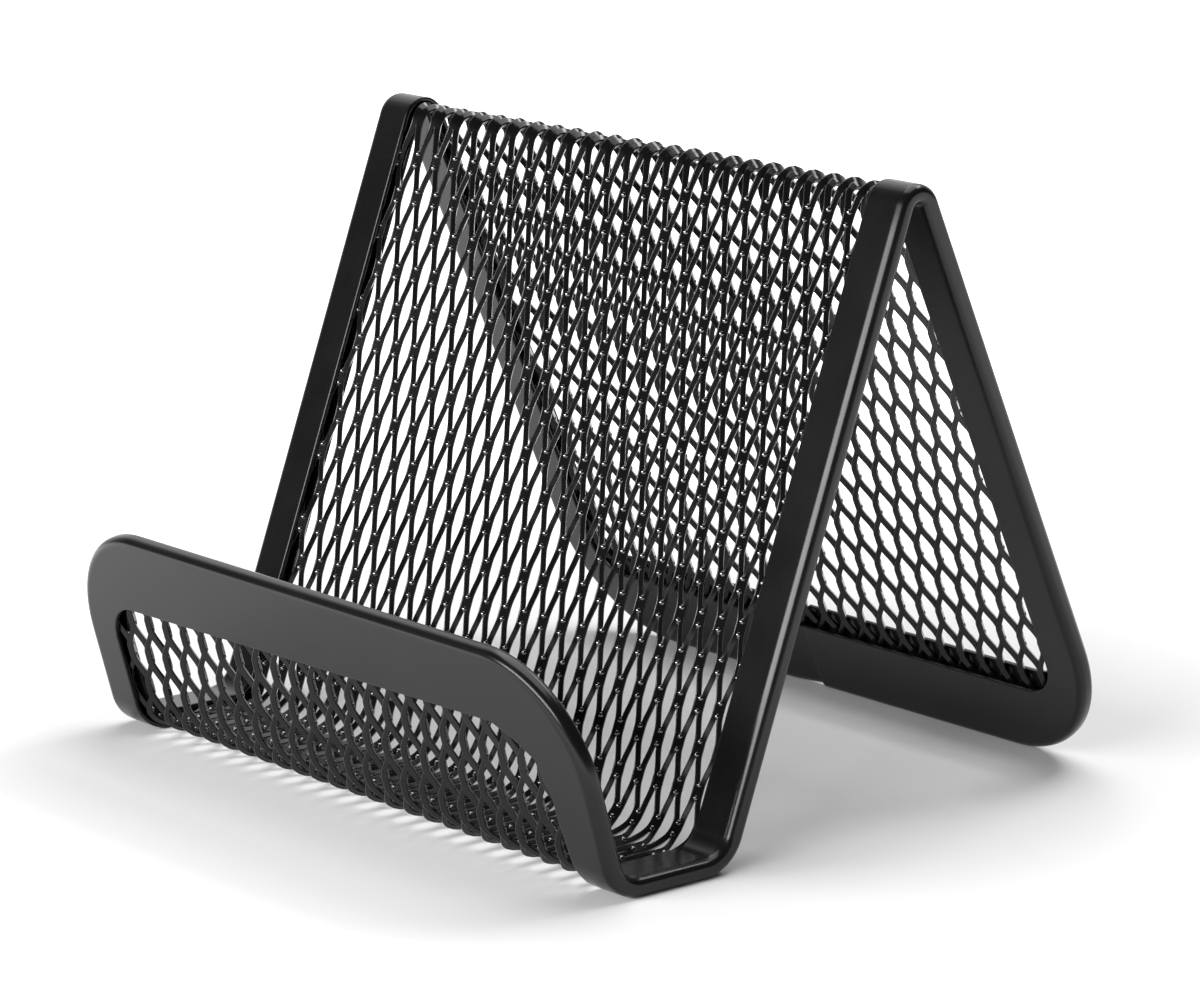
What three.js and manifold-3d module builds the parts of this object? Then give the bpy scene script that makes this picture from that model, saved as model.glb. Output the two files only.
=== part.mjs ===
// Desk stand for business cards. One sheet of expanded metal is edged all round by one strip
// of folded steel, and the two are bent together along three lines into a lip, a floor, a back
// and a leg. Lengths are in millimetres and angles in degrees. +X runs across the stand, -Y is
// the front with the lip, +Z is up, and the stand rests on z = 0.
//
// Everything is laid out flat first, in (u, s, h): u across the sheet, s along it from the top of
// the lip to the foot of the leg, and h off the sheet's middle surface towards the cards.
// The function bend() then folds a flat point to its place.

import * as THREE from 'three';
import Module from 'manifold-3d';
import { mergeVertices } from 'three/addons/utils/BufferGeometryUtils.js';

// The bent sheet, measured on its middle surface between sharp fold lines
const WIDTH = 98;
const LIP_LENGTH = 27.2;
const LIP_LEAN = 14.8;
const FLOOR_DEPTH = 15.6;
const BACK_LENGTH = 80.5;
const BACK_LEAN = 20.9;
const LEG_LEAN = 22.9;
const FLOOR_FOLD_RADIUS = 3.1;
const RIDGE_RADIUS = 1.9;

// The steel edging: a channel whose two flat flanges hold the mesh, rounded at its outer edge
const STEEL = 0.6;
const EDGE_RADIUS = 0.8;
const SIDE_FLANGE = 6;
const LIP_FLANGE = 9;
const FOOT_FLANGE = 9.7;
const LIP_CORNER_RADIUS = 14.7;
const FOOT_CORNER_RADIUS = 17;
const WINDOW_CORNER_RADIUS = 5;

// The mesh. Its gaps are drawn at twice the real spacing both ways, so that they can be counted
const MESH_THICKNESS = 0.6;
const GAP_PITCH_ACROSS = 7.1;
const GAP_PITCH_ALONG = 19;
const GAP_WIDTH = 4.7;
const GAP_LENGTH = 15.8;
const GAPS_UNDER_FLANGE = 1;

// Clearances: mesh to channel, and between the runs that meet at a fold or at the strip's joint
const MESH_CLEARANCE = 0.3;
const RUN_CLEARANCE = 0.3;

// How finely round stretches are drawn
const EDGE_FACETS = 3;
const FLOOR_FOLD_FACETS = 2;
const RIDGE_FACETS = 4;
const CORNER_FACETS = 5;

const CHANNEL_HALF = MESH_THICKNESS / 2 + MESH_CLEARANCE;
const FLANGE_HALF = CHANNEL_HALF + STEEL;
const MESH_INSET = STEEL + MESH_CLEARANCE;

const rad = THREE.MathUtils.degToRad;

// The channel's cross-section as [depth from the outer edge, height h]. A depth of null is the
// flange's inner edge, whose distance changes along the strip
function channelSection() {
  const upper = [[null, FLANGE_HALF]];
  for (let k = 0; k <= EDGE_FACETS; k += 1) {
    const angle = (k / EDGE_FACETS) * (Math.PI / 2);
    upper.push([
      EDGE_RADIUS * (1 - Math.sin(angle)),
      FLANGE_HALF - EDGE_RADIUS * (1 - Math.cos(angle)),
    ]);
  }
  const lower = upper.map(([depth, height]) => [depth, -height]).reverse();
  return [
    ...upper,
    ...lower,
    [null, -CHANNEL_HALF],
    [STEEL, -CHANNEL_HALF],
    [STEEL, CHANNEL_HALF],
    [null, CHANNEL_HALF],
  ];
}

const SECTION = channelSection();

// The sharp corners of the bent sheet seen from the side, as (y, z), from the lip to the foot.
// The floor's edging lies flat on the table, and so does the lowest line of the foot's
const lipFold = new THREE.Vector2(0, FLANGE_HALF);
const backFold = new THREE.Vector2(FLOOR_DEPTH, FLANGE_HALF);
const lipTop = new THREE.Vector2(
  lipFold.x - LIP_LENGTH * Math.sin(rad(LIP_LEAN)),
  lipFold.y + LIP_LENGTH * Math.cos(rad(LIP_LEAN)),
);
const ridge = new THREE.Vector2(
  backFold.x + BACK_LENGTH * Math.sin(rad(BACK_LEAN)),
  backFold.y + BACK_LENGTH * Math.cos(rad(BACK_LEAN)),
);
const footDrop = Math.max(...SECTION.filter(([depth]) => depth !== null).map(
  ([depth, height]) => -depth * Math.cos(rad(LEG_LEAN)) - height * Math.sin(rad(LEG_LEAN)),
));
const legLength = (ridge.y - footDrop) / Math.cos(rad(LEG_LEAN));
const foot = new THREE.Vector2(
  ridge.x + legLength * Math.sin(rad(LEG_LEAN)),
  ridge.y - legLength * Math.cos(rad(LEG_LEAN)),
);

// Fold lines across the sheet: each has its place s, its point and its normal. Between two lines
// the sheet is flat, so a fold is a few narrow flats
function foldLines() {
  const corners = [lipTop, lipFold, backFold, ridge, foot];
  const radii = [0, FLOOR_FOLD_RADIUS, FLOOR_FOLD_RADIUS, RIDGE_RADIUS];
  const facets = [0, FLOOR_FOLD_FACETS, FLOOR_FOLD_FACETS, RIDGE_FACETS];
  const lines = [];
  const middles = [];
  let s = 0;
  let from = lipTop;
  for (let i = 1; i < corners.length - 1; i += 1) {
    const before = corners[i].clone().sub(corners[i - 1]).normalize();
    const after = corners[i + 1].clone().sub(corners[i]).normalize();
    const turn = Math.atan2(before.cross(after), before.dot(after));
    const tangent = radii[i] * Math.tan(Math.abs(turn) / 2);
    const start = corners[i].clone().addScaledVector(before, -tangent);
    const normal = new THREE.Vector2(-before.y, before.x);
    const centre = start.clone().addScaledVector(normal, Math.sign(turn) * radii[i]);
    if (i === 1) lines.push({ s, point: from, normal });
    s += start.distanceTo(from);
    const arc = radii[i] * Math.abs(turn);
    middles.push(s + arc / 2);
    for (let k = 0; k <= facets[i]; k += 1) {
      const angle = (turn * k) / facets[i];
      lines.push({
        s: s + (arc * k) / facets[i],
        point: start.clone().rotateAround(centre, angle),
        normal: normal.clone().rotateAround(new THREE.Vector2(), angle),
      });
    }
    s += arc;
    from = lines.at(-1).point;
  }
  s += foot.distanceTo(from);
  lines.push({ s, point: foot, normal: lines.at(-1).normal });
  return { lines, middles, length: s };
}

const { lines: FOLD_LINES, middles, length: SHEET_LENGTH } = foldLines();
const [LIP_FOLD_S, BACK_FOLD_S, RIDGE_S] = middles;

// The bent place of a flat point
function bend(u, s, h) {
  let i = 0;
  while (i < FOLD_LINES.length - 2 && s > FOLD_LINES[i + 1].s) i += 1;
  const a = FOLD_LINES[i];
  const b = FOLD_LINES[i + 1];
  const share = (s - a.s) / (b.s - a.s);
  const point = a.point.clone().lerp(b.point, share);
  const normal = a.normal.clone().lerp(b.normal, share);
  return new THREE.Vector3(u, point.x + h * normal.x, point.y + h * normal.y);
}

// A closed geometry from points and triangles, turned so that its faces point out
function solid(points, triangles) {
  let volume = 0;
  for (const [a, b, c] of triangles) {
    volume += points[a].dot(points[b].clone().cross(points[c]));
  }
  const index = volume > 0 ? triangles : triangles.map(([a, b, c]) => [a, c, b]);
  const geometry = new THREE.BufferGeometry();
  geometry.setAttribute('position', new THREE.Float32BufferAttribute(points.flatMap((p) => p.toArray()), 3));
  geometry.setIndex(index.flat());
  geometry.computeVertexNormals();
  return geometry;
}

// Stations along the strip: the outer edge, the way in from it, and the flange's inner edge,
// each in (u, s). side is 1 on the right of the stand and -1 on its left
function sideStations(side, from, to) {
  const low = Math.min(from, to);
  const high = Math.max(from, to);
  const places = [low, ...FOLD_LINES.map((line) => line.s).filter((s) => s > low && s < high), high];
  if (from > to) places.reverse();
  return places.map((s) => ({
    outer: new THREE.Vector2((side * WIDTH) / 2, s),
    inward: new THREE.Vector2(-side, 0),
    inner: new THREE.Vector2(side * (WIDTH / 2 - SIDE_FLANGE), s),
  }));
}

// A corner from the side of the sheet to its end. end is where the sheet ends, and way is 1
// where the sheet lies beyond it, at the lip, or -1 at the foot
function cornerStations(side, end, way, radius, flange) {
  const outerCentre = new THREE.Vector2(WIDTH / 2 - radius, end + way * radius);
  const innerCentre = new THREE.Vector2(
    WIDTH / 2 - SIDE_FLANGE - WINDOW_CORNER_RADIUS,
    end + way * (flange + WINDOW_CORNER_RADIUS),
  );
  const mirror = (p) => new THREE.Vector2(side * p.x, p.y);
  const stations = [];
  for (let k = 0; k <= CORNER_FACETS; k += 1) {
    const angle = (k / CORNER_FACETS) * (Math.PI / 2);
    const out = new THREE.Vector2(Math.cos(angle), -way * Math.sin(angle));
    stations.push({
      outer: mirror(outerCentre.clone().addScaledVector(out, radius)),
      inward: mirror(out.clone().negate()),
      inner: mirror(innerCentre.clone().addScaledVector(out, WINDOW_CORNER_RADIUS)),
    });
  }
  return stations;
}

// A run of the channel through its stations, closed at both ends
function channelRun(stations) {
  const points = [];
  for (const { outer, inward, inner } of stations) {
    for (const [depth, height] of SECTION) {
      const flat = depth === null ? inner : outer.clone().addScaledVector(inward, depth);
      points.push(bend(flat.x, flat.y, height));
    }
  }
  const n = SECTION.length;
  const triangles = [];
  for (let i = 0; i < stations.length - 1; i += 1) {
    for (let k = 0; k < n; k += 1) {
      const a = i * n + k;
      const b = i * n + ((k + 1) % n);
      triangles.push([a, b, b + n], [a, b + n, a + n]);
    }
  }
  for (const i of [0, stations.length - 1]) {
    const reach = stations[i].outer.distanceTo(stations[i].inner);
    const outline = SECTION.map(([depth, height]) => new THREE.Vector2(depth ?? reach, height));
    for (const [a, b, c] of THREE.ShapeUtils.triangulateShape(outline, [])) {
      const cap = [i * n + a, i * n + b, i * n + c];
      triangles.push(i === 0 ? cap.reverse() : cap);
    }
  }
  return solid(points, triangles);
}

const wasm = await Module();
wasm.setup();

function toManifold(geometry) {
  const bare = geometry.clone();
  bare.deleteAttribute('normal');
  bare.deleteAttribute('uv');
  const merged = mergeVertices(bare);
  return new wasm.Manifold(new wasm.Mesh({
    numProp: 3,
    vertProperties: new Float32Array(merged.attributes.position.array),
    triVerts: new Uint32Array(merged.index.array),
  }));
}

// A flat plate in (u, s), centred on h = 0
function plate(shapes, thickness) {
  const geometry = new THREE.ExtrudeGeometry(shapes, { depth: thickness, bevelEnabled: false });
  geometry.translate(0, 0, -thickness / 2);
  return toManifold(geometry);
}

// A stretch of the sheet from s = from to s = to, with round corners where it has an end
function stretch(halfWidth, from, to, radiusFrom, radiusTo) {
  const points = [];
  const quarter = (side, end, way, radius) => {
    const steps = radius > 0 ? CORNER_FACETS : 0;
    const arc = [];
    for (let k = 0; k <= steps; k += 1) {
      const angle = steps ? (k / steps) * (Math.PI / 2) : 0;
      arc.push(new THREE.Vector2(
        side * (halfWidth - radius + radius * Math.cos(angle)),
        end + way * (radius - radius * Math.sin(angle)),
      ));
    }
    return arc;
  };
  points.push(...quarter(1, from, 1, radiusFrom).reverse());
  points.push(...quarter(1, to, -1, radiusTo));
  points.push(...quarter(-1, to, -1, radiusTo).reverse());
  points.push(...quarter(-1, from, 1, radiusFrom));
  return new THREE.Shape(points);
}

// Cuts triangles in two wherever they cross the line s = place, so that a fold can run there
function splitAlong(points, triangles, place) {
  const cuts = new Map();
  const cut = (a, b) => {
    const key = a < b ? `${a}_${b}` : `${b}_${a}`;
    if (!cuts.has(key)) {
      const share = (place - points[a].y) / (points[b].y - points[a].y);
      cuts.set(key, points.push(points[a].clone().lerp(points[b], share)) - 1);
    }
    return cuts.get(key);
  };
  return triangles.flatMap((triangle) => {
    const side = triangle.map((i) => Math.sign(points[i].y - place));
    if (!side.includes(1) || !side.includes(-1)) return [triangle];
    const turned = (k) => [triangle[k % 3], triangle[(k + 1) % 3], triangle[(k + 2) % 3]];
    if (side.includes(0)) {
      const [a, b, c] = turned(side.indexOf(0));
      const m = cut(b, c);
      return [[a, b, m], [a, m, c]];
    }
    const lone = side.reduce((sum, value) => sum + value, 0) > 0 ? -1 : 1;
    const [a, b, c] = turned(side.indexOf(lone));
    const p = cut(a, b);
    const q = cut(a, c);
    return [[a, p, q], [p, b, c], [p, c, q]];
  });
}

// The diamond gaps, in rows half a long pitch apart and shifted by half a pitch in turn. The
// pitch across is fitted so that a whole number of gaps spans the window between the flanges
function gapShapes() {
  const shapes = [];
  const rowStep = GAP_PITCH_ALONG / 2;
  const rows = Math.ceil(SHEET_LENGTH / rowStep);
  const windowWidth = WIDTH - 2 * SIDE_FLANGE;
  const columns = Math.round(windowWidth / GAP_PITCH_ACROSS);
  for (let row = 0; row <= rows; row += 1) {
    const shift = row % 2 ? 0.5 : 0;
    for (let column = 0; column <= columns; column += 1) {
      const u = ((column + shift) / columns - 0.5) * windowWidth;
      const s = LIP_FLANGE + row * rowStep;
      shapes.push(new THREE.Shape([
        new THREE.Vector2(u + GAP_WIDTH / 2, s),
        new THREE.Vector2(u, s + GAP_LENGTH / 2),
        new THREE.Vector2(u - GAP_WIDTH / 2, s),
        new THREE.Vector2(u, s - GAP_LENGTH / 2),
      ]));
    }
  }
  return shapes;
}

// The gaps that show in the window, and a little past its edges, as cutters
const gaps = plate(gapShapes(), 2 * MESH_THICKNESS).intersect(plate(stretch(
  WIDTH / 2 - SIDE_FLANGE + GAPS_UNDER_FLANGE,
  LIP_FLANGE - GAPS_UNDER_FLANGE,
  SHEET_LENGTH - FOOT_FLANGE + GAPS_UNDER_FLANGE,
  WINDOW_CORNER_RADIUS,
  WINDOW_CORNER_RADIUS,
), 3 * MESH_THICKNESS));

// One bent panel of the mesh. A radius is 0 where the panel ends at a fold
function meshPanel(from, to, radiusFrom, radiusTo) {
  const outline = stretch(WIDTH / 2 - MESH_INSET, from, to, radiusFrom, radiusTo);
  const net = plate(outline, MESH_THICKNESS).subtract(gaps).getMesh();
  const points = [];
  for (let i = 0; i < net.vertProperties.length; i += net.numProp) {
    points.push(new THREE.Vector3().fromArray(net.vertProperties, i));
  }
  let triangles = [];
  for (let i = 0; i < net.triVerts.length; i += 3) {
    triangles.push([...net.triVerts.slice(i, i + 3)]);
  }
  for (const line of FOLD_LINES) triangles = splitAlong(points, triangles, line.s);
  return solid(points.map((p) => bend(p.x, p.y, p.z)), triangles);
}

const paintedSteel = new THREE.MeshStandardMaterial({ color: 0x1d1d1e, roughness: 0.38, metalness: 0.1 });
const paintedMesh = new THREE.MeshStandardMaterial({ color: 0x1a1a1b, roughness: 0.42, metalness: 0.1 });

const stand = new THREE.Group();

function add(name, geometry, material) {
  const mesh = new THREE.Mesh(geometry, material);
  mesh.name = name;
  stand.add(mesh);
}

// The edging strip, run by run. The runs of one strip part at the folds
const half = RUN_CLEARANCE / 2;
add('rim_lip', channelRun([
  ...sideStations(1, LIP_FOLD_S - half, LIP_CORNER_RADIUS).slice(0, -1),
  ...cornerStations(1, 0, 1, LIP_CORNER_RADIUS, LIP_FLANGE),
  ...cornerStations(-1, 0, 1, LIP_CORNER_RADIUS, LIP_FLANGE).reverse(),
  ...sideStations(-1, LIP_CORNER_RADIUS, LIP_FOLD_S - half).slice(1),
]), paintedSteel);

for (const [hand, side] of [['left', -1], ['right', 1]]) {
  const footCorner = SHEET_LENGTH - FOOT_CORNER_RADIUS;
  const floorRun = sideStations(side, LIP_FOLD_S + half, BACK_FOLD_S - half);
  const backRun = sideStations(side, BACK_FOLD_S + half, RIDGE_S - half);
  // The strip's two ends meet halfway along the foot
  const strip = {
    outer: new THREE.Vector2(side * half, SHEET_LENGTH),
    inward: new THREE.Vector2(0, -1),
    inner: new THREE.Vector2(side * half, SHEET_LENGTH - FOOT_FLANGE),
  };
  add(`rim_floor_${hand}`, channelRun(floorRun), paintedSteel);
  add(`rim_back_${hand}`, channelRun(backRun), paintedSteel);
  add(`rim_leg_${hand}`, channelRun([
    ...sideStations(side, RIDGE_S + half, footCorner).slice(0, -1),
    ...cornerStations(side, SHEET_LENGTH, -1, FOOT_CORNER_RADIUS, FOOT_FLANGE),
    strip,
  ]), paintedSteel);
}

// The mesh, panel by panel
const meshLipRadius = LIP_CORNER_RADIUS - MESH_INSET;
const meshFootRadius = FOOT_CORNER_RADIUS - MESH_INSET;
add('mesh_lip', meshPanel(MESH_INSET, LIP_FOLD_S - half, meshLipRadius, 0), paintedMesh);
add('mesh_floor', meshPanel(LIP_FOLD_S + half, BACK_FOLD_S - half, 0, 0), paintedMesh);
add('mesh_back', meshPanel(BACK_FOLD_S + half, RIDGE_S - half, 0, 0), paintedMesh);
add('mesh_leg', meshPanel(RIDGE_S + half, SHEET_LENGTH - MESH_INSET, 0, meshFootRadius), paintedMesh);

// The origin goes on the table, under the middle of the stand
const reach = new THREE.Box3().setFromObject(stand);
stand.position.y = -(reach.min.y + reach.max.y) / 2;
console.log(`Stand ${reach.getSize(new THREE.Vector3()).toArray().map((v) => v.toFixed(2)).join(' x ')} mm`);

export default stand;
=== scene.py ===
import math

import bmesh
import bpy
import numpy as np
from mathutils import Matrix, Vector


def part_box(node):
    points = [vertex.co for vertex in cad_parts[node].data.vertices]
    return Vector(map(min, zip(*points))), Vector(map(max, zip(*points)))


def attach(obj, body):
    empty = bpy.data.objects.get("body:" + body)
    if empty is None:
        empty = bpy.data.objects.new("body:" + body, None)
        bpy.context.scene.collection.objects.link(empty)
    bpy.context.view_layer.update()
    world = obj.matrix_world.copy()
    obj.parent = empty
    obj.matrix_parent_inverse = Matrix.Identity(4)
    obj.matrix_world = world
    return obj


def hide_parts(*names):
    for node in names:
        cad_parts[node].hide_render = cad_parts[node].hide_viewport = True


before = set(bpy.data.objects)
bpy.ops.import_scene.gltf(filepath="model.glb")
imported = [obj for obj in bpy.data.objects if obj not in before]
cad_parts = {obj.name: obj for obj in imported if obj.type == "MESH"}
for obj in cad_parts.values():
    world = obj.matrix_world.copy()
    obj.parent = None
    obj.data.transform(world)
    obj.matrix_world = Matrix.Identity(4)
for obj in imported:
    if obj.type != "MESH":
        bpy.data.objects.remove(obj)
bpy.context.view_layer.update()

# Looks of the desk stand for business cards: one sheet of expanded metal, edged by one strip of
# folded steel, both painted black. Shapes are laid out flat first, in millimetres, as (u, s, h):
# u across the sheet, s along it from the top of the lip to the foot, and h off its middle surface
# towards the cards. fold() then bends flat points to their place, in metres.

MM = 0.001
scene = bpy.context.scene

# The folded sheet, measured on its middle surface between sharp corners
WIDTH = 98.0
LIP_LENGTH = 27.2
LIP_LEAN = 14.8
FLOOR_DEPTH = 15.6
BACK_LENGTH = 80.5
BACK_LEAN = 20.9
LEG_LEAN = 22.9
LIP_FOLD_RADIUS = 4.0
BACK_FOLD_RADIUS = 4.6
RIDGE_RADIUS = 1.93

# The edging strip: two flat flanges, round at the outer edge. The skin keeps its oval edge inside
# the solids, whose edge is a smaller arc drawn with facets
STEEL = 0.6
CHANNEL_HALF = 0.6
FLANGE_HALF = CHANNEL_HALF + STEEL
EDGE_RADIUS = 0.8
EDGE_FACETS = 3
OVAL_DEPTH = 1.1
OVAL_RISE = 0.95
FLAT_START = 1.15 * OVAL_DEPTH
SKIN = 0.03
FLANGE_EDGE_RADIUS = 0.16
SLOT_START = 0.7
SIDE_FLANGE = 6.0
LIP_SIDE_EXTRA = 1.2
LIP_FLANGE_LEFT = 10.2
LIP_FLANGE_RIGHT = 8.9
FOOT_FLANGE = 9.7
FOOT_REAR_EXTRA = 2.0
LIP_CORNER_RADIUS = 14.7
FOOT_CORNER_RADIUS = 17.0
WINDOW_CORNER_RADIUS = 5.0
LIP_SIDE_END = 2.0
LIP_SIDE_FADE = 6.0
SIDE_STEPS = 40
FOLD_STEPS = 15
CORNER_STEPS = 24
OVAL_STEPS = 10
ROUND_STEPS = 3

# The crimped inner edge of the flange at the lip's right corner, as (u, s)
LIP_CRIMP = [
    (41.8, 17.5), (41.7, 15.9), (41.0, 15.0), (40.6, 13.6),
    (40.2, 12.2), (37.6, 10.6), (33.5, 9.0),
]

# The strip's joint at the foot: its inner end is necked down and slips into the outer one
JOINT_U = -2.5
JOINT_OVERLAP = 1.0
OUTER_END_STATIONS = (0.0, 0.1, 2.0, 8.0)
NECK = 0.26
NECK_FADE = 7.0
NECK_STEPS = 9

# The mesh: bonds stand in columns i and rows j where i + j is odd. The columns lie a little closer
# together to the right, the rows climb a little across the sheet, and the ridge shifts them along
COLUMNS = range(-32, 32)
ROWS = range(-24, 26)
HALF_PITCH = 1.80
PITCH_FALL = 0.00177
MIDDLE_COLUMN_U = 4.83
ROW_STEP = 4.743
ROW_START = 98.65
ROW_RISE = 0.0306
ROW_DRIFT = -0.073
DRIFT_ROW = -4
RIDGE_SHIFT = 2.26
RIDGE_SHIFT_REACH = 6.0
STRAND_WIDTH = 0.66
STRAND_THICKNESS = 0.76
STRAND_CORNER = 0.12
STRAND_SWING = 0.7
STRAND_STEPS = 8
STRAND_TILT = 45.0
RIDGE_SWELL = 0.4
RIDGE_NEAR = 6.0
FACE_TURN = 0.35
BOND_LENGTH = 1.5
HIDDEN_MARGIN = 2.2
NORMAL_STEP = 0.001

# The web of paint past each end of a bond: place along it, width, and share of the thickness
WEB = [(0.7, 0.62, 1.02), (0.95, 0.36, 0.94), (1.2, 0.15, 0.8)]

# The drops of paint: a dome at each end of a bond, with slices at DROP_SLICES degrees along it, each
# drawn in steps of DROP_STEP degrees. There are none near the ridge and the foot's flange
DROP_PLACE = 0.76
DROP_RADIUS = 0.30
DROP_RISE = 0.12
DROP_SLICES = [-78, -52, -26, 0, 26, 52, 78]
DROP_STEP = 30
DROP_FLOOR = 0.1
CLEAR_OF_RIDGE = 4.5
CLEAR_OF_FOOT = 4.0


def heading(angle):
    return np.array([math.cos(angle), math.sin(angle)])


def foot_reach(lean):
    """How far the solids' foot edge reaches past the sheet's end: down for -LEG_LEAN, else back."""
    lean = math.radians(lean)
    reaches = []
    for k in range(EDGE_FACETS + 1):
        angle = math.pi / 2 * k / EDGE_FACETS
        depth = EDGE_RADIUS * (1 - math.sin(angle))
        height = FLANGE_HALF - EDGE_RADIUS * (1 - math.cos(angle))
        if lean < 0:
            reaches.append(-depth * math.cos(lean) - height * math.sin(lean))
        else:
            reaches.append(-depth * math.sin(lean) + height * math.cos(lean))
    return max(reaches)


def side_profile():
    """Stretches of the sheet seen from the side: start s, length, start point, heading and turn."""
    headings = [
        math.radians(LIP_LEAN - 90),
        0.0,
        math.radians(90 - BACK_LEAN),
        math.radians(LEG_LEAN - 90),
    ]
    ridge_height = FLANGE_HALF + BACK_LENGTH * math.cos(math.radians(BACK_LEAN))
    leg_length = (ridge_height - foot_reach(-LEG_LEAN)) / math.cos(math.radians(LEG_LEAN))
    lengths = [LIP_LENGTH, FLOOR_DEPTH, BACK_LENGTH, leg_length]
    radii = [LIP_FOLD_RADIUS, BACK_FOLD_RADIUS, RIDGE_RADIUS]
    turns = [after - before for before, after in zip(headings, headings[1:])]
    trims = [r * math.tan(abs(t) / 2) for r, t in zip(radii, turns)]
    lip_fold = np.array([0.0, FLANGE_HALF])
    point = lip_fold - LIP_LENGTH * heading(headings[0])
    stretches = []
    s = 0.0
    for k, length in enumerate(lengths):
        flat = length - (trims[k - 1] if k > 0 else 0) - (trims[k] if k < 3 else 0)
        stretches.append((s, flat, point, headings[k], 0.0))
        point = point + flat * heading(headings[k])
        s += flat
        if k < 3:
            arc = radii[k] * abs(turns[k])
            stretches.append((s, arc, point, headings[k], turns[k]))
            chord = 2 * radii[k] * math.sin(abs(turns[k]) / 2)
            point = point + chord * heading(headings[k] + turns[k] / 2)
            s += arc
    return stretches, s


STRETCHES, SHEET_LENGTH = side_profile()
FOLDS = [(start, start + length) for start, length, _, _, turn in STRETCHES if turn]
RIDGE_MIDDLE = sum(FOLDS[2]) / 2


def fold(flat):
    """Bends flat points (u, s, h) in millimetres to the stand's own frame, in metres."""
    flat = np.asarray(flat, float)
    u, s, h = flat[:, 0], flat[:, 1], flat[:, 2]
    out = np.zeros_like(flat)
    out[:, 0] = u
    starts = np.array([stretch[0] for stretch in STRETCHES])
    which = np.clip(np.searchsorted(starts, s, side="right") - 1, 0, len(STRETCHES) - 1)
    for k, (start, length, point, angle, turn) in enumerate(STRETCHES):
        here = which == k
        run = s[here] - start
        if turn:
            radius = length / turn
            now = angle + run / radius
            y = point[0] + radius * (np.sin(now) - math.sin(angle))
            z = point[1] - radius * (np.cos(now) - math.cos(angle))
        else:
            now = np.full(run.shape, angle)
            y = point[0] + run * math.cos(angle)
            z = point[1] + run * math.sin(angle)
        out[here, 1] = y - np.sin(now) * h[here]
        out[here, 2] = z + np.cos(now) * h[here]
    out[:, 1] += SHIFT_Y
    return out * MM


# The foot's rear edge gives where the stand lies front to back
_, leg_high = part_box("rim_leg_right")
SHIFT_Y = 0.0
foot_edge = fold([[0.0, SHEET_LENGTH, 0.0]])[0, 1] / MM + foot_reach(LEG_LEAN)
SHIFT_Y = leg_high.y / MM - foot_edge


def new_object(name, vertices, faces, material, normals=None):
    mesh = bpy.data.meshes.new(name)
    mesh.from_pydata([tuple(v) for v in vertices], [], [tuple(f) for f in faces])
    mesh.update()
    work = bmesh.new()
    work.from_mesh(mesh)
    bmesh.ops.recalc_face_normals(work, faces=work.faces)
    work.to_mesh(mesh)
    work.free()
    mesh.shade_smooth()
    if normals is not None:
        mesh.normals_split_custom_set_from_vertices([tuple(n) for n in normals])
    piece = bpy.data.objects.new(name, mesh)
    scene.collection.objects.link(piece)
    mesh.materials.append(material)
    return piece


# The paint's clouds of colour and gloss
CLOUD_SIZE = 0.00625
TINT_SPREAD = 0.15
GLOSS_SPREAD = 0.04


def painted_metal(name, roughness, peel_size, peel_depth, ior, base):
    """Black paint: colour and gloss that vary a little, over a fine orange-peel surface."""
    material = bpy.data.materials.new(name)
    material.use_nodes = True
    nodes = material.node_tree.nodes
    links = material.node_tree.links
    shader = nodes["Principled BSDF"]
    shader.inputs["IOR"].default_value = ior
    place = nodes.new("ShaderNodeTexCoord")

    cloud = nodes.new("ShaderNodeTexNoise")
    cloud.inputs["Scale"].default_value = 1 / CLOUD_SIZE
    cloud.inputs["Detail"].default_value = 5.0
    links.new(place.outputs["Object"], cloud.inputs["Vector"])

    tint = nodes.new("ShaderNodeValToRGB")
    ends = [(0.3, base * (1 - TINT_SPREAD)), (0.7, base * (1 + TINT_SPREAD))]
    for end, (position, level) in zip(tint.color_ramp.elements, ends):
        end.position = position
        end.color = (level, level + 0.01 * base, level + 0.03 * base, 1)
    links.new(cloud.outputs["Fac"], tint.inputs["Fac"])
    links.new(tint.outputs["Color"], shader.inputs["Base Color"])

    gloss = nodes.new("ShaderNodeMapRange")
    gloss.inputs["To Min"].default_value = roughness - GLOSS_SPREAD
    gloss.inputs["To Max"].default_value = roughness + GLOSS_SPREAD
    links.new(cloud.outputs["Fac"], gloss.inputs["Value"])
    links.new(gloss.outputs["Result"], shader.inputs["Roughness"])

    peel = nodes.new("ShaderNodeTexNoise")
    peel.inputs["Scale"].default_value = 1 / peel_size
    peel.inputs["Detail"].default_value = 2.0
    links.new(place.outputs["Object"], peel.inputs["Vector"])
    bump = nodes.new("ShaderNodeBump")
    bump.inputs["Strength"].default_value = 1.0
    bump.inputs["Distance"].default_value = peel_depth
    links.new(peel.outputs["Fac"], bump.inputs["Height"])
    links.new(bump.outputs["Normal"], shader.inputs["Normal"])
    return material


# The drops of paint on the mesh dried glossier than the rest
WET_LAYER = "wet"


def add_wet_coat(material, ior, roughness):
    """A glossy coat where the mesh's wet layer is 1."""
    shader = material.node_tree.nodes["Principled BSDF"]
    layer = material.node_tree.nodes.new("ShaderNodeAttribute")
    layer.attribute_name = WET_LAYER
    material.node_tree.links.new(layer.outputs["Fac"], shader.inputs["Coat Weight"])
    shader.inputs["Coat IOR"].default_value = ior
    shader.inputs["Coat Roughness"].default_value = roughness


rim_paint = painted_metal(
    "black_rim_paint", roughness=0.24, peel_size=0.0016, peel_depth=0.0000015, ior=1.4, base=0.006,
)
mesh_paint = painted_metal(
    "black_mesh_paint", roughness=0.16, peel_size=0.0008, peel_depth=0.000003, ior=1.5, base=0.005,
)
add_wet_coat(mesh_paint, ior=2.4, roughness=0.1)


# The strip

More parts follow.
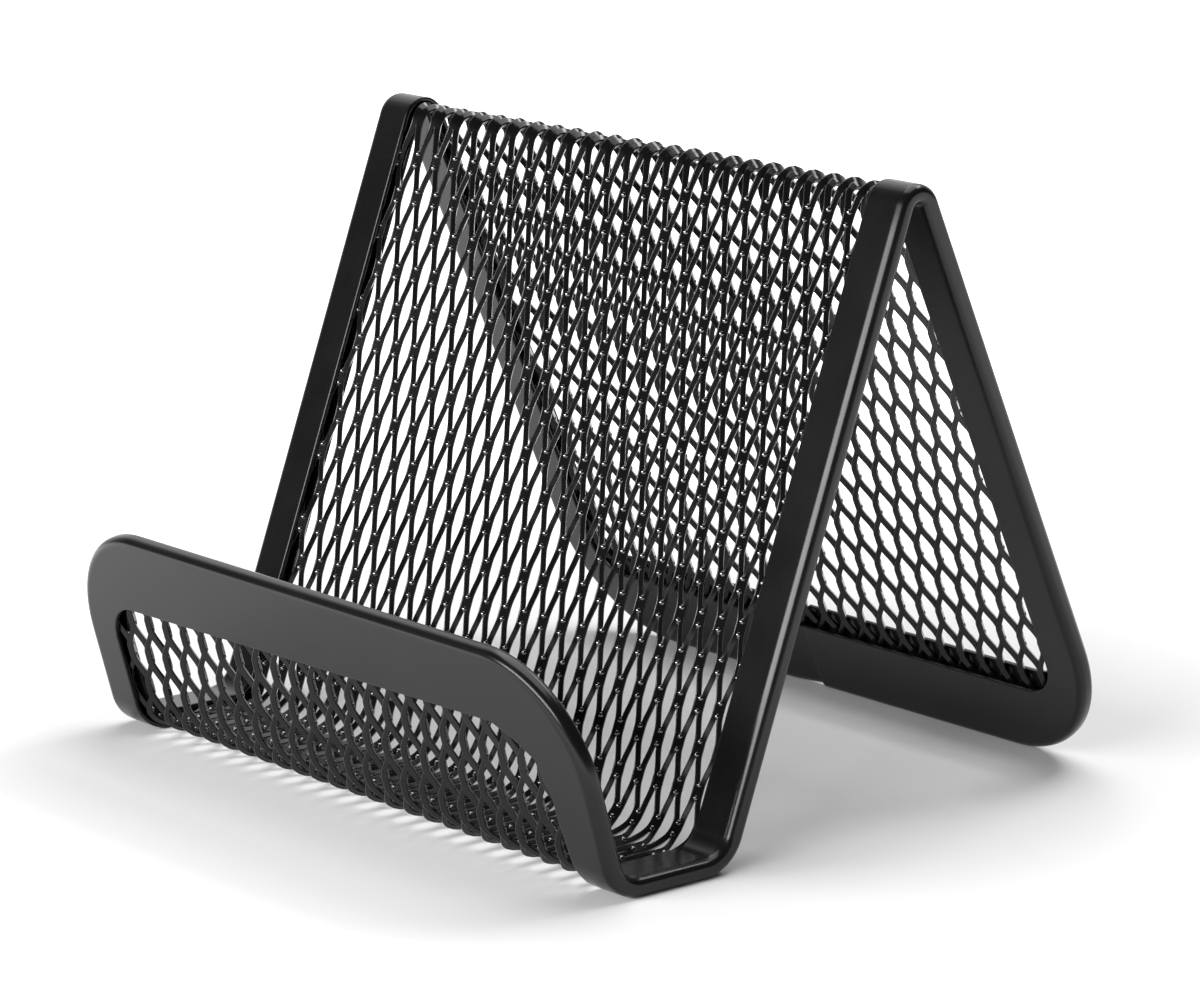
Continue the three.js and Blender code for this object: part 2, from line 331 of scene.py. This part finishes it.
def arc(depth, height, radius, start, end, steps):
    """Points (depth, h) of an arc round a centre, between two angles in degrees."""
    angles = np.radians(np.linspace(start, end, steps + 1))
    return [(depth + radius * math.cos(a), height + radius * math.sin(a)) for a in angles]


def strip_section(reach, neck, extra):
    """The strip's cross-section as (depth from the outer edge, h), for a flange that ends at reach.
    The flange on the cards' side goes further in by extra, and neck presses the section thinner."""
    half = FLANGE_HALF - SKIN - neck
    slot = CHANNEL_HALF
    wall = SKIN + neck
    small = FLANGE_EDGE_RADIUS
    upper = arc(reach - small, slot + small, small, -90, 0, ROUND_STEPS)
    upper += arc(reach - small, half - small, small, 0, 90, ROUND_STEPS)
    upper.append((reach - 2 * small, half))
    upper.append((wall + FLAT_START, half))
    for depth, height in arc(0, 0, 1, 90, 180, OVAL_STEPS):
        upper.append((wall + OVAL_DEPTH * (1 + depth), half - OVAL_RISE * (1 - height)))
    lower = [(depth, -height) for depth, height in reversed(upper)]
    upper = [(depth + extra if depth > reach / 2 else depth, height) for depth, height in upper]
    return upper + lower + [(SLOT_START, -slot), (SLOT_START, slot)]


def window_edge(side, s):
    """How far the side flange reaches in at s. The lip's right side is a little wider."""
    if side < 0:
        return WIDTH / 2 - SIDE_FLANGE
    lip_end = FOLDS[0][0]
    share = min(max((lip_end + LIP_SIDE_END - s) / LIP_SIDE_FADE, 0), 1)
    return WIDTH / 2 - SIDE_FLANGE - LIP_SIDE_EXTRA * share


def side_stations(side, start, end):
    """Stations down one side from s = start to s = end, close together where the sheet folds."""
    low, high = min(start, end), max(start, end)
    places = list(np.linspace(low, high, SIDE_STEPS))
    for first, last in FOLDS:
        places += list(np.linspace(first, last, FOLD_STEPS))
    places = sorted(s for s in places if low < s < high)
    if start > end:
        places.reverse()
    stations = []
    for s in places:
        inner = (side * window_edge(side, s), s)
        stations.append(((side * WIDTH / 2, s), (-side, 0.0), inner, 0.0, 0.0))
    return stations


def corner_stations(side, way):
    """Stations from a side of the sheet to its end: way is 1 at the lip and -1 at the foot."""
    radius = LIP_CORNER_RADIUS if way > 0 else FOOT_CORNER_RADIUS
    end = 0.0 if way > 0 else SHEET_LENGTH
    lip_flange = LIP_FLANGE_LEFT if side < 0 else LIP_FLANGE_RIGHT
    flange = lip_flange if way > 0 else FOOT_FLANGE
    centre = np.array([WIDTH / 2 - radius, end + way * radius])
    window = np.array([
        WIDTH / 2 - SIDE_FLANGE - WINDOW_CORNER_RADIUS,
        end + way * (flange + WINDOW_CORNER_RADIUS),
    ])
    flip = np.array([side, 1.0])
    crimp_u, crimp_s = zip(*LIP_CRIMP)
    stations = []
    for k in range(CORNER_STEPS + 1):
        angle = math.pi / 2 * k / CORNER_STEPS
        out = np.array([math.cos(angle), -way * math.sin(angle)])
        inner = (window + WINDOW_CORNER_RADIUS * out) * flip
        if side > 0 and way > 0:
            along = (len(LIP_CRIMP) - 1) * k / CORNER_STEPS
            index = np.arange(len(LIP_CRIMP))
            inner = np.array([np.interp(along, index, crimp_u), np.interp(along, index, crimp_s)])
        extra = FOOT_REAR_EXTRA * math.sin(angle) ** 2 if way < 0 else 0.0
        stations.append(((centre + radius * out) * flip, -out * flip, inner, 0.0, extra))
    return stations


def strip_stations():
    """Round the whole strip, from its outer end, up the right side and back to its inner end: the
    outer edge's place, the way inward, the flange's inner edge, and the section's neck and extra."""
    stations = []
    foot = SHEET_LENGTH
    for past in OUTER_END_STATIONS:
        u = JOINT_U + past
        stations.append(((u, foot), (0.0, -1.0), (u, foot - FOOT_FLANGE), 0.0, FOOT_REAR_EXTRA))
    stations += corner_stations(1, -1)[::-1]
    stations += side_stations(1, foot - FOOT_CORNER_RADIUS, LIP_CORNER_RADIUS)
    stations += corner_stations(1, 1)
    stations += corner_stations(-1, 1)[::-1]
    stations += side_stations(-1, LIP_CORNER_RADIUS, foot - FOOT_CORNER_RADIUS)
    stations += corner_stations(-1, -1)
    for u in np.linspace(JOINT_U - NECK_FADE, JOINT_U + JOINT_OVERLAP, NECK_STEPS):
        fade = min((u - JOINT_U + NECK_FADE) / NECK_FADE, 1.0)
        neck = NECK * fade * fade * (3 - 2 * fade)
        inner = (u, foot - FOOT_FLANGE + neck)
        stations.append(((u, foot), (0.0, -1.0), inner, neck, FOOT_REAR_EXTRA))
    return stations


def make_strip():
    flat = []
    for outer, inward, inner, neck, extra in strip_stations():
        outer = np.array(outer, float)
        inward = np.array(inward, float)
        inner = np.array(inner, float)
        reach = float(np.linalg.norm(inner - outer))
        along = (inner - outer) / reach
        section = strip_section(reach, neck, extra)
        for depth, height in section:
            share = min(max((depth - 2 * EDGE_RADIUS) / (reach - 2 * EDGE_RADIUS), 0.0), 1.0)
            way = inward * (1 - share) + along * share
            place = outer + way * depth if depth < reach - STEEL else inner - along * (reach - depth)
            flat.append((place[0], place[1], height))
    count = len(section)
    rings = len(flat) // count
    faces = []
    for i in range(rings - 1):
        for k in range(count):
            a = i * count + k
            b = i * count + (k + 1) % count
            faces.append((a, b, b + count, a + count))
    faces.append(tuple(range(count)))
    faces.append(tuple((rings - 1) * count + k for k in range(count)))
    piece = new_object("edging_strip", fold(flat), faces, rim_paint)
    piece.data.polygons[len(faces) - 1].use_smooth = False
    piece.data.polygons[len(faces) - 2].use_smooth = False
    return piece


# The mesh

def edge_depth(u, s):
    """How deep a flat point lies inside the sheet's outline with its round corners."""
    radius = LIP_CORNER_RADIUS if s < SHEET_LENGTH / 2 else FOOT_CORNER_RADIUS
    across = WIDTH / 2 - abs(u)
    along = min(s, SHEET_LENGTH - s)
    if across < radius and along < radius:
        return radius - math.hypot(radius - across, radius - along)
    return min(across, along)


def bond_place(i, j):
    u = MIDDLE_COLUMN_U + HALF_PITCH * i - PITCH_FALL * i * i + ROW_DRIFT * (j - DRIFT_ROW)
    s = ROW_START + ROW_STEP * j + ROW_RISE * u
    start = FOLDS[2][0] - RIDGE_SHIFT_REACH
    end = FOLDS[2][1] + RIDGE_SHIFT_REACH
    share = min(max((s - start) / (end - start), 0.0), 1.0)
    return u, s + RIDGE_SHIFT * share * share * (3 - 2 * share)


def ring(width, thickness):
    """A rectangle with cut corners, as eight (across, through) pairs."""
    a = width / 2
    b = thickness / 2
    c = min(STRAND_CORNER, 0.45 * width, 0.45 * thickness)
    return np.array([
        (a, b - c), (a - c, b), (c - a, b), (-a, b - c),
        (-a, c - b), (c - a, -b), (a - c, -b), (a, c - b),
    ])


# The way each ring point faces, as (across, along, through): flat faces with rounded corners
RING_FACING = [
    (1, 0, 0), (0, 0, 1), (0, 0, 1), (-1, 0, 0),
    (-1, 0, 0), (0, 0, -1), (0, 0, -1), (1, 0, 0),
]


def drop_slice(run):
    """A drop's outline at a distance run from its middle, and the way each of its points faces."""
    share = math.sqrt(1 - (run / DROP_RADIUS) ** 2)
    outline = []
    facing = []
    for angle in np.radians(np.arange(0, 181, DROP_STEP)):
        across = DROP_RADIUS * share * math.cos(angle)
        rise = DROP_RISE * share * math.sin(angle)
        outline.append((across, STRAND_THICKNESS / 2 + rise))
        facing.append((across / DROP_RADIUS ** 2, run / DROP_RADIUS ** 2, rise / DROP_RISE ** 2))
    floor = DROP_FLOOR - STRAND_THICKNESS / 2
    outline += [(-across, floor) for across, _ in outline]
    facing += [(0, 0, -1)] * len(facing)
    return outline, facing


def tubes(centres, rings, facings):
    """Tubes through rows of centres, with one ring to each station, whose points face the ways of
    facings: as vertices, their normals and faces."""
    tilt = math.radians(STRAND_TILT)
    across = np.array([math.cos(tilt), 0.0, -math.sin(tilt)])
    along = np.array([0.0, 1.0, 0.0])
    through = np.array([math.sin(tilt), 0.0, math.cos(tilt)])
    rings = np.array(rings)
    # Where the sheet was bent over the ridge its strands are pressed flat, and so wider
    near = np.clip(1 - np.abs(centres[..., 1] - RIDGE_MIDDLE) / RIDGE_NEAR, 0, 1)
    swell = (1 + RIDGE_SWELL * near * near * (3 - 2 * near))[:, :, None, None]
    offsets = rings[None, :, :, :1] * across * swell + rings[None, :, :, 1:] * through
    vertices = centres[:, :, None, :] + offsets
    facings = np.array(facings, float)
    normals = facings[..., :1] * across + facings[..., 1:2] * along + facings[..., 2:] * through
    run = np.gradient(centres, axis=1)[:, :, None, :]
    run = run / np.linalg.norm(run, axis=-1, keepdims=True)
    lean = np.sum(normals * run, axis=-1, keepdims=True)
    normals = normals - np.where(facings[..., 1:2] == 0, FACE_TURN * lean, 0.0) * run
    normals = normals / np.linalg.norm(normals, axis=-1, keepdims=True)
    count, stations, sides = vertices.shape[:3]
    first = np.arange(count)[:, None, None] * stations * sides
    low = first + np.arange(stations - 1)[None, :, None] * sides
    k = np.arange(sides)[None, None, :]
    nxt = (k + 1) % sides
    quads = np.stack([low + k, low + nxt, low + sides + nxt, low + sides + k], axis=-1)
    caps = [tuple(row) for row in (first + k)[:, 0]]
    caps += [tuple(row) for row in (first + (stations - 1) * sides + k)[:, 0]]
    faces = [tuple(row) for row in quads.reshape(-1, 4)] + caps
    return vertices.reshape(-1, 3), normals.reshape(-1, 3), faces


def strand_centres(pairs):
    """The strands' middles: each leaves one half of a bond and joins the other half of the next."""
    tilt = math.radians(STRAND_TILT)
    go = np.linspace(0, 1, STRAND_STEPS + 1)
    swing = (1 - STRAND_SWING) * go + STRAND_SWING * go * go * (3 - 2 * go)
    swing = np.concatenate([[0.0], swing, [1.0]])
    rows = []
    for start, end, side in pairs:
        begin = start[1] + BOND_LENGTH / 2
        finish = end[1] - BOND_LENGTH / 2
        s = np.concatenate([[start[1]], begin + (finish - begin) * go, [end[1]]])
        step = side * STRAND_WIDTH / 2
        u = start[0] + step * math.cos(tilt)
        u = u + swing * (end[0] - start[0] - 2 * step * math.cos(tilt))
        h = step * math.sin(tilt) * (2 * swing - 1)
        rows.append(np.stack([u, s, h], axis=1))
    return np.array(rows)


def bond_places():
    """The bonds' flat places (u, s) by column and row."""
    places = {}
    for j in ROWS:
        for i in COLUMNS:
            if (i + j) % 2:
                u, s = bond_place(i, j)
                if 0 < s < SHEET_LENGTH and abs(u) < WIDTH / 2 and edge_depth(u, s) > HIDDEN_MARGIN:
                    places[(i, j)] = (u, s)
    return places


def strands(places):
    """Two strands from each bond, to the bonds of the next row on its right and left."""
    pairs = []
    for (i, j), start in places.items():
        for side in (1, -1):
            end = places.get((i + side, j + 1))
            if end:
                pairs.append((start, end, side))
    centres = strand_centres(pairs)
    count = centres.shape[1]
    return tubes(centres, [ring(STRAND_WIDTH, STRAND_THICKNESS)] * count, [RING_FACING] * count)


def stacked(bonds, places):
    """For each bond a row of centres, at places along the sheet from its middle."""
    return np.stack([bonds + np.array([0.0, place, 0.0]) for place in places], axis=1)


def webs(bonds):
    """Paint fills the groove between the two strands of a bond, and webs a little past its ends."""
    web = [(-place, width, share) for place, width, share in reversed(WEB)] + WEB
    rings = [ring(width, STRAND_THICKNESS * share) for _, width, share in web]
    return tubes(stacked(bonds, [place for place, _, _ in web]), rings, [RING_FACING] * len(web))


def drops(bonds, end):
    """A drop of paint stands at one end of each bond, as a low dome on the cards' face, but not near
    the ridge nor beside the foot's flange. end is 1 towards the foot and -1 towards the lip."""
    clear = np.abs(bonds[:, 1] - RIDGE_MIDDLE) > CLEAR_OF_RIDGE
    clear &= bonds[:, 1] < SHEET_LENGTH - FOOT_FLANGE - CLEAR_OF_FOOT
    runs = DROP_RADIUS * np.sin(np.radians(DROP_SLICES))
    outlines, facings = zip(*[drop_slice(run) for run in runs])
    return tubes(stacked(bonds[clear], end * DROP_PLACE + runs), outlines, facings)


def make_mesh():
    places = bond_places()
    bonds = np.array([(u, s, 0.0) for u, s in places.values()])
    dry_parts = [strands(places), webs(bonds)]
    wet_parts = [drops(bonds, -1), drops(bonds, 1)]
    parts = dry_parts + wet_parts

    faces = []
    start = 0
    for part_vertices, _, part_faces in parts:
        faces += [tuple(start + k for k in face) for face in part_faces]
        start += len(part_vertices)
    flat = np.concatenate([part_vertices for part_vertices, _, _ in parts])
    facing = np.concatenate([part_normals for _, part_normals, _ in parts])
    vertices = fold(flat)
    normals = fold(flat + NORMAL_STEP * facing) - vertices
    normals = normals / np.linalg.norm(normals, axis=1, keepdims=True)
    net = new_object("expanded_mesh", vertices, faces, mesh_paint, normals)

    # In each slice of a drop the points of the dome come first and are wet, and its floor is dry
    dry = sum(len(part_vertices) for part_vertices, _, _ in dry_parts)
    slice_wetness = np.repeat([1.0, 0.0], len(range(0, 181, DROP_STEP)))
    slices = (len(vertices) - dry) // len(slice_wetness)
    wetness = np.concatenate([np.zeros(dry), np.tile(slice_wetness, slices)])
    layer = net.data.attributes.new(WET_LAYER, "FLOAT", "POINT")
    layer.data.foreach_set("value", wetness)
    return net


strip = make_strip()
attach(strip, "root")
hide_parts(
    "rim_lip", "rim_floor_left", "rim_floor_right", "rim_back_left", "rim_back_right",
    "rim_leg_left", "rim_leg_right",
)

net = make_mesh()
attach(net, "root")
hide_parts("mesh_lip", "mesh_floor", "mesh_back", "mesh_leg")


# Floor, light and camera

# The white table glows where it is seen or mirrored, but only away from the stand, so that it keeps
# the stand's shadow. Distances from the stand's middle are in metres
TABLE_HALF = 3.0
TABLE_GREY = 0.86
GLOW_START = 0.06
GLOW_FULL = 0.18

# The camera, in metres, radians and for the lens millimetres. Its azimuth turns from +Y to -X
CAMERA_PLACE = Vector((0.445124, -0.355973, 0.164924))
CAMERA_AZIMUTH = 0.892851
CAMERA_ELEVATION = 0.230243
CAMERA_ROLL = 0.014705
CAMERA_LENS = 146.78

# The sweep's heading from the stand, where it starts and is full as a cosine, and its brightness
SWEEP_HEADING = (-0.78, 0.62, 0.0)
SWEEP_START = 0.4
SWEEP_FULL = 0.85
SWEEP_GLOSS = 1.25
ROOM_GLOSS = 0.04
SKY_LIGHT = 0.12

# Each lamp's name, place, target, width, height and power, in metres and watts
LAMPS = [
    ("overhead_softbox", (-0.1, 0.2, 0.82), (0, 0, 0.03), 0.8, 0.8, 5.7),
    ("rear_striplight", (0.03, 0.55, 0.75), (0, 0, 0.03), 0.45, 0.12, 1.6),
    ("front_striplight", (0.0, -1.15, 0.48), (0, 0, 0.04), 1.4, 0.28, 19.5),
]


def math_node(tree, operation, first, second):
    """A math node's result. Its two inputs are numbers or other nodes' sockets."""
    node = tree.nodes.new("ShaderNodeMath")
    node.operation = operation
    for socket, value in zip(node.inputs, (first, second)):
        if isinstance(value, float):
            socket.default_value = value
        else:
            tree.links.new(value, socket)
    return node.outputs[0]


def make_floor():
    half = TABLE_HALF
    corners = [(-half, -half, 0), (half, -half, 0), (half, half, 0), (-half, half, 0)]
    material = bpy.data.materials.new("white_table")
    material.use_nodes = True
    tree = material.node_tree
    nodes = tree.nodes
    links = tree.links
    shader = nodes["Principled BSDF"]
    shader.inputs["Base Color"].default_value = (TABLE_GREY, TABLE_GREY, TABLE_GREY, 1)
    shader.inputs["Roughness"].default_value = 0.9
    shader.inputs["Specular IOR Level"].default_value = 0.1
    path = nodes.new("ShaderNodeLightPath").outputs
    mirrored = math_node(tree, "MAXIMUM", path["Is Glossy Ray"], path["Is Transmission Ray"])
    seen = math_node(tree, "MAXIMUM", path["Is Camera Ray"], mirrored)
    place = nodes.new("ShaderNodeTexCoord")
    away = nodes.new("ShaderNodeVectorMath")
    away.operation = "LENGTH"
    links.new(place.outputs["Object"], away.inputs[0])
    lift = nodes.new("ShaderNodeMapRange")
    lift.interpolation_type = "SMOOTHSTEP"
    lift.inputs["From Min"].default_value = GLOW_START
    lift.inputs["From Max"].default_value = GLOW_FULL
    links.new(away.outputs["Value"], lift.inputs["Value"])
    glow = math_node(tree, "MULTIPLY", seen, lift.outputs["Result"])
    shader.inputs["Emission Color"].default_value = (1, 1, 1, 1)
    links.new(glow, shader.inputs["Emission Strength"])
    floor = new_object("table_top", corners, [(0, 1, 2, 3)], material)


def make_camera():
    forward = Vector((
        -math.sin(CAMERA_AZIMUTH) * math.cos(CAMERA_ELEVATION),
        math.cos(CAMERA_AZIMUTH) * math.cos(CAMERA_ELEVATION),
        -math.sin(CAMERA_ELEVATION),
    ))
    level_right = forward.cross(Vector((0, 0, 1))).normalized()
    level_down = forward.cross(level_right)
    right = math.cos(CAMERA_ROLL) * level_right + math.sin(CAMERA_ROLL) * level_down
    down = -math.sin(CAMERA_ROLL) * level_right + math.cos(CAMERA_ROLL) * level_down
    turn = Matrix((right, -down, -forward)).transposed()
    camera = bpy.data.cameras.new("camera")
    camera.lens = CAMERA_LENS
    camera.sensor_width = 36.0
    camera.clip_start = 0.01
    holder = bpy.data.objects.new("camera", camera)
    holder.matrix_world = Matrix.Translation(CAMERA_PLACE) @ turn.to_4x4()
    scene.collection.objects.link(holder)
    scene.camera = holder


def make_lamp(name, place, target, width, height, power):
    lamp = bpy.data.lights.new(name, "AREA")
    lamp.shape = "RECTANGLE"
    lamp.size = width
    lamp.size_y = height
    lamp.energy = power
    holder = bpy.data.objects.new(name, lamp)
    place, target = Vector(place), Vector(target)
    aim = (target - place).to_track_quat("-Z", "Y").to_matrix().to_4x4()
    holder.matrix_world = Matrix.Translation(place) @ aim
    scene.collection.objects.link(holder)


def make_world():
    """White to the camera. Gloss sees a white sweep behind the stand and a dark room in front,
    and the stand is lit by a weaker and even sky."""
    world = bpy.data.worlds.new("studio")
    scene.world = world
    world.use_nodes = True
    tree = world.node_tree
    nodes = tree.nodes
    links = tree.links
    background = nodes["Background"]
    background.inputs["Color"].default_value = (1, 1, 1, 1)
    place = nodes.new("ShaderNodeTexCoord")
    facing = nodes.new("ShaderNodeVectorMath")
    facing.operation = "DOT_PRODUCT"
    facing.inputs[1].default_value = SWEEP_HEADING
    links.new(place.outputs["Generated"], facing.inputs[0])
    sweep = nodes.new("ShaderNodeMapRange")
    sweep.interpolation_type = "SMOOTHSTEP"
    sweep.inputs["From Min"].default_value = SWEEP_START
    sweep.inputs["From Max"].default_value = SWEEP_FULL
    sweep.inputs["To Min"].default_value = ROOM_GLOSS
    sweep.inputs["To Max"].default_value = SWEEP_GLOSS
    links.new(facing.outputs["Value"], sweep.inputs["Value"])

    path = nodes.new("ShaderNodeLightPath").outputs
    seen = math_node(tree, "MAXIMUM", path["Is Camera Ray"], path["Is Transmission Ray"])
    gloss = math_node(tree, "MULTIPLY", path["Is Glossy Ray"], sweep.outputs["Result"])
    sky = math_node(tree, "MULTIPLY", path["Is Diffuse Ray"], SKY_LIGHT)
    strength = math_node(tree, "MAXIMUM", math_node(tree, "MAXIMUM", seen, gloss), sky)
    links.new(strength, background.inputs["Strength"])


make_floor()
make_world()
for lamp_values in LAMPS:
    make_lamp(*lamp_values)
make_camera()

scene.view_settings.view_transform = "Standard"
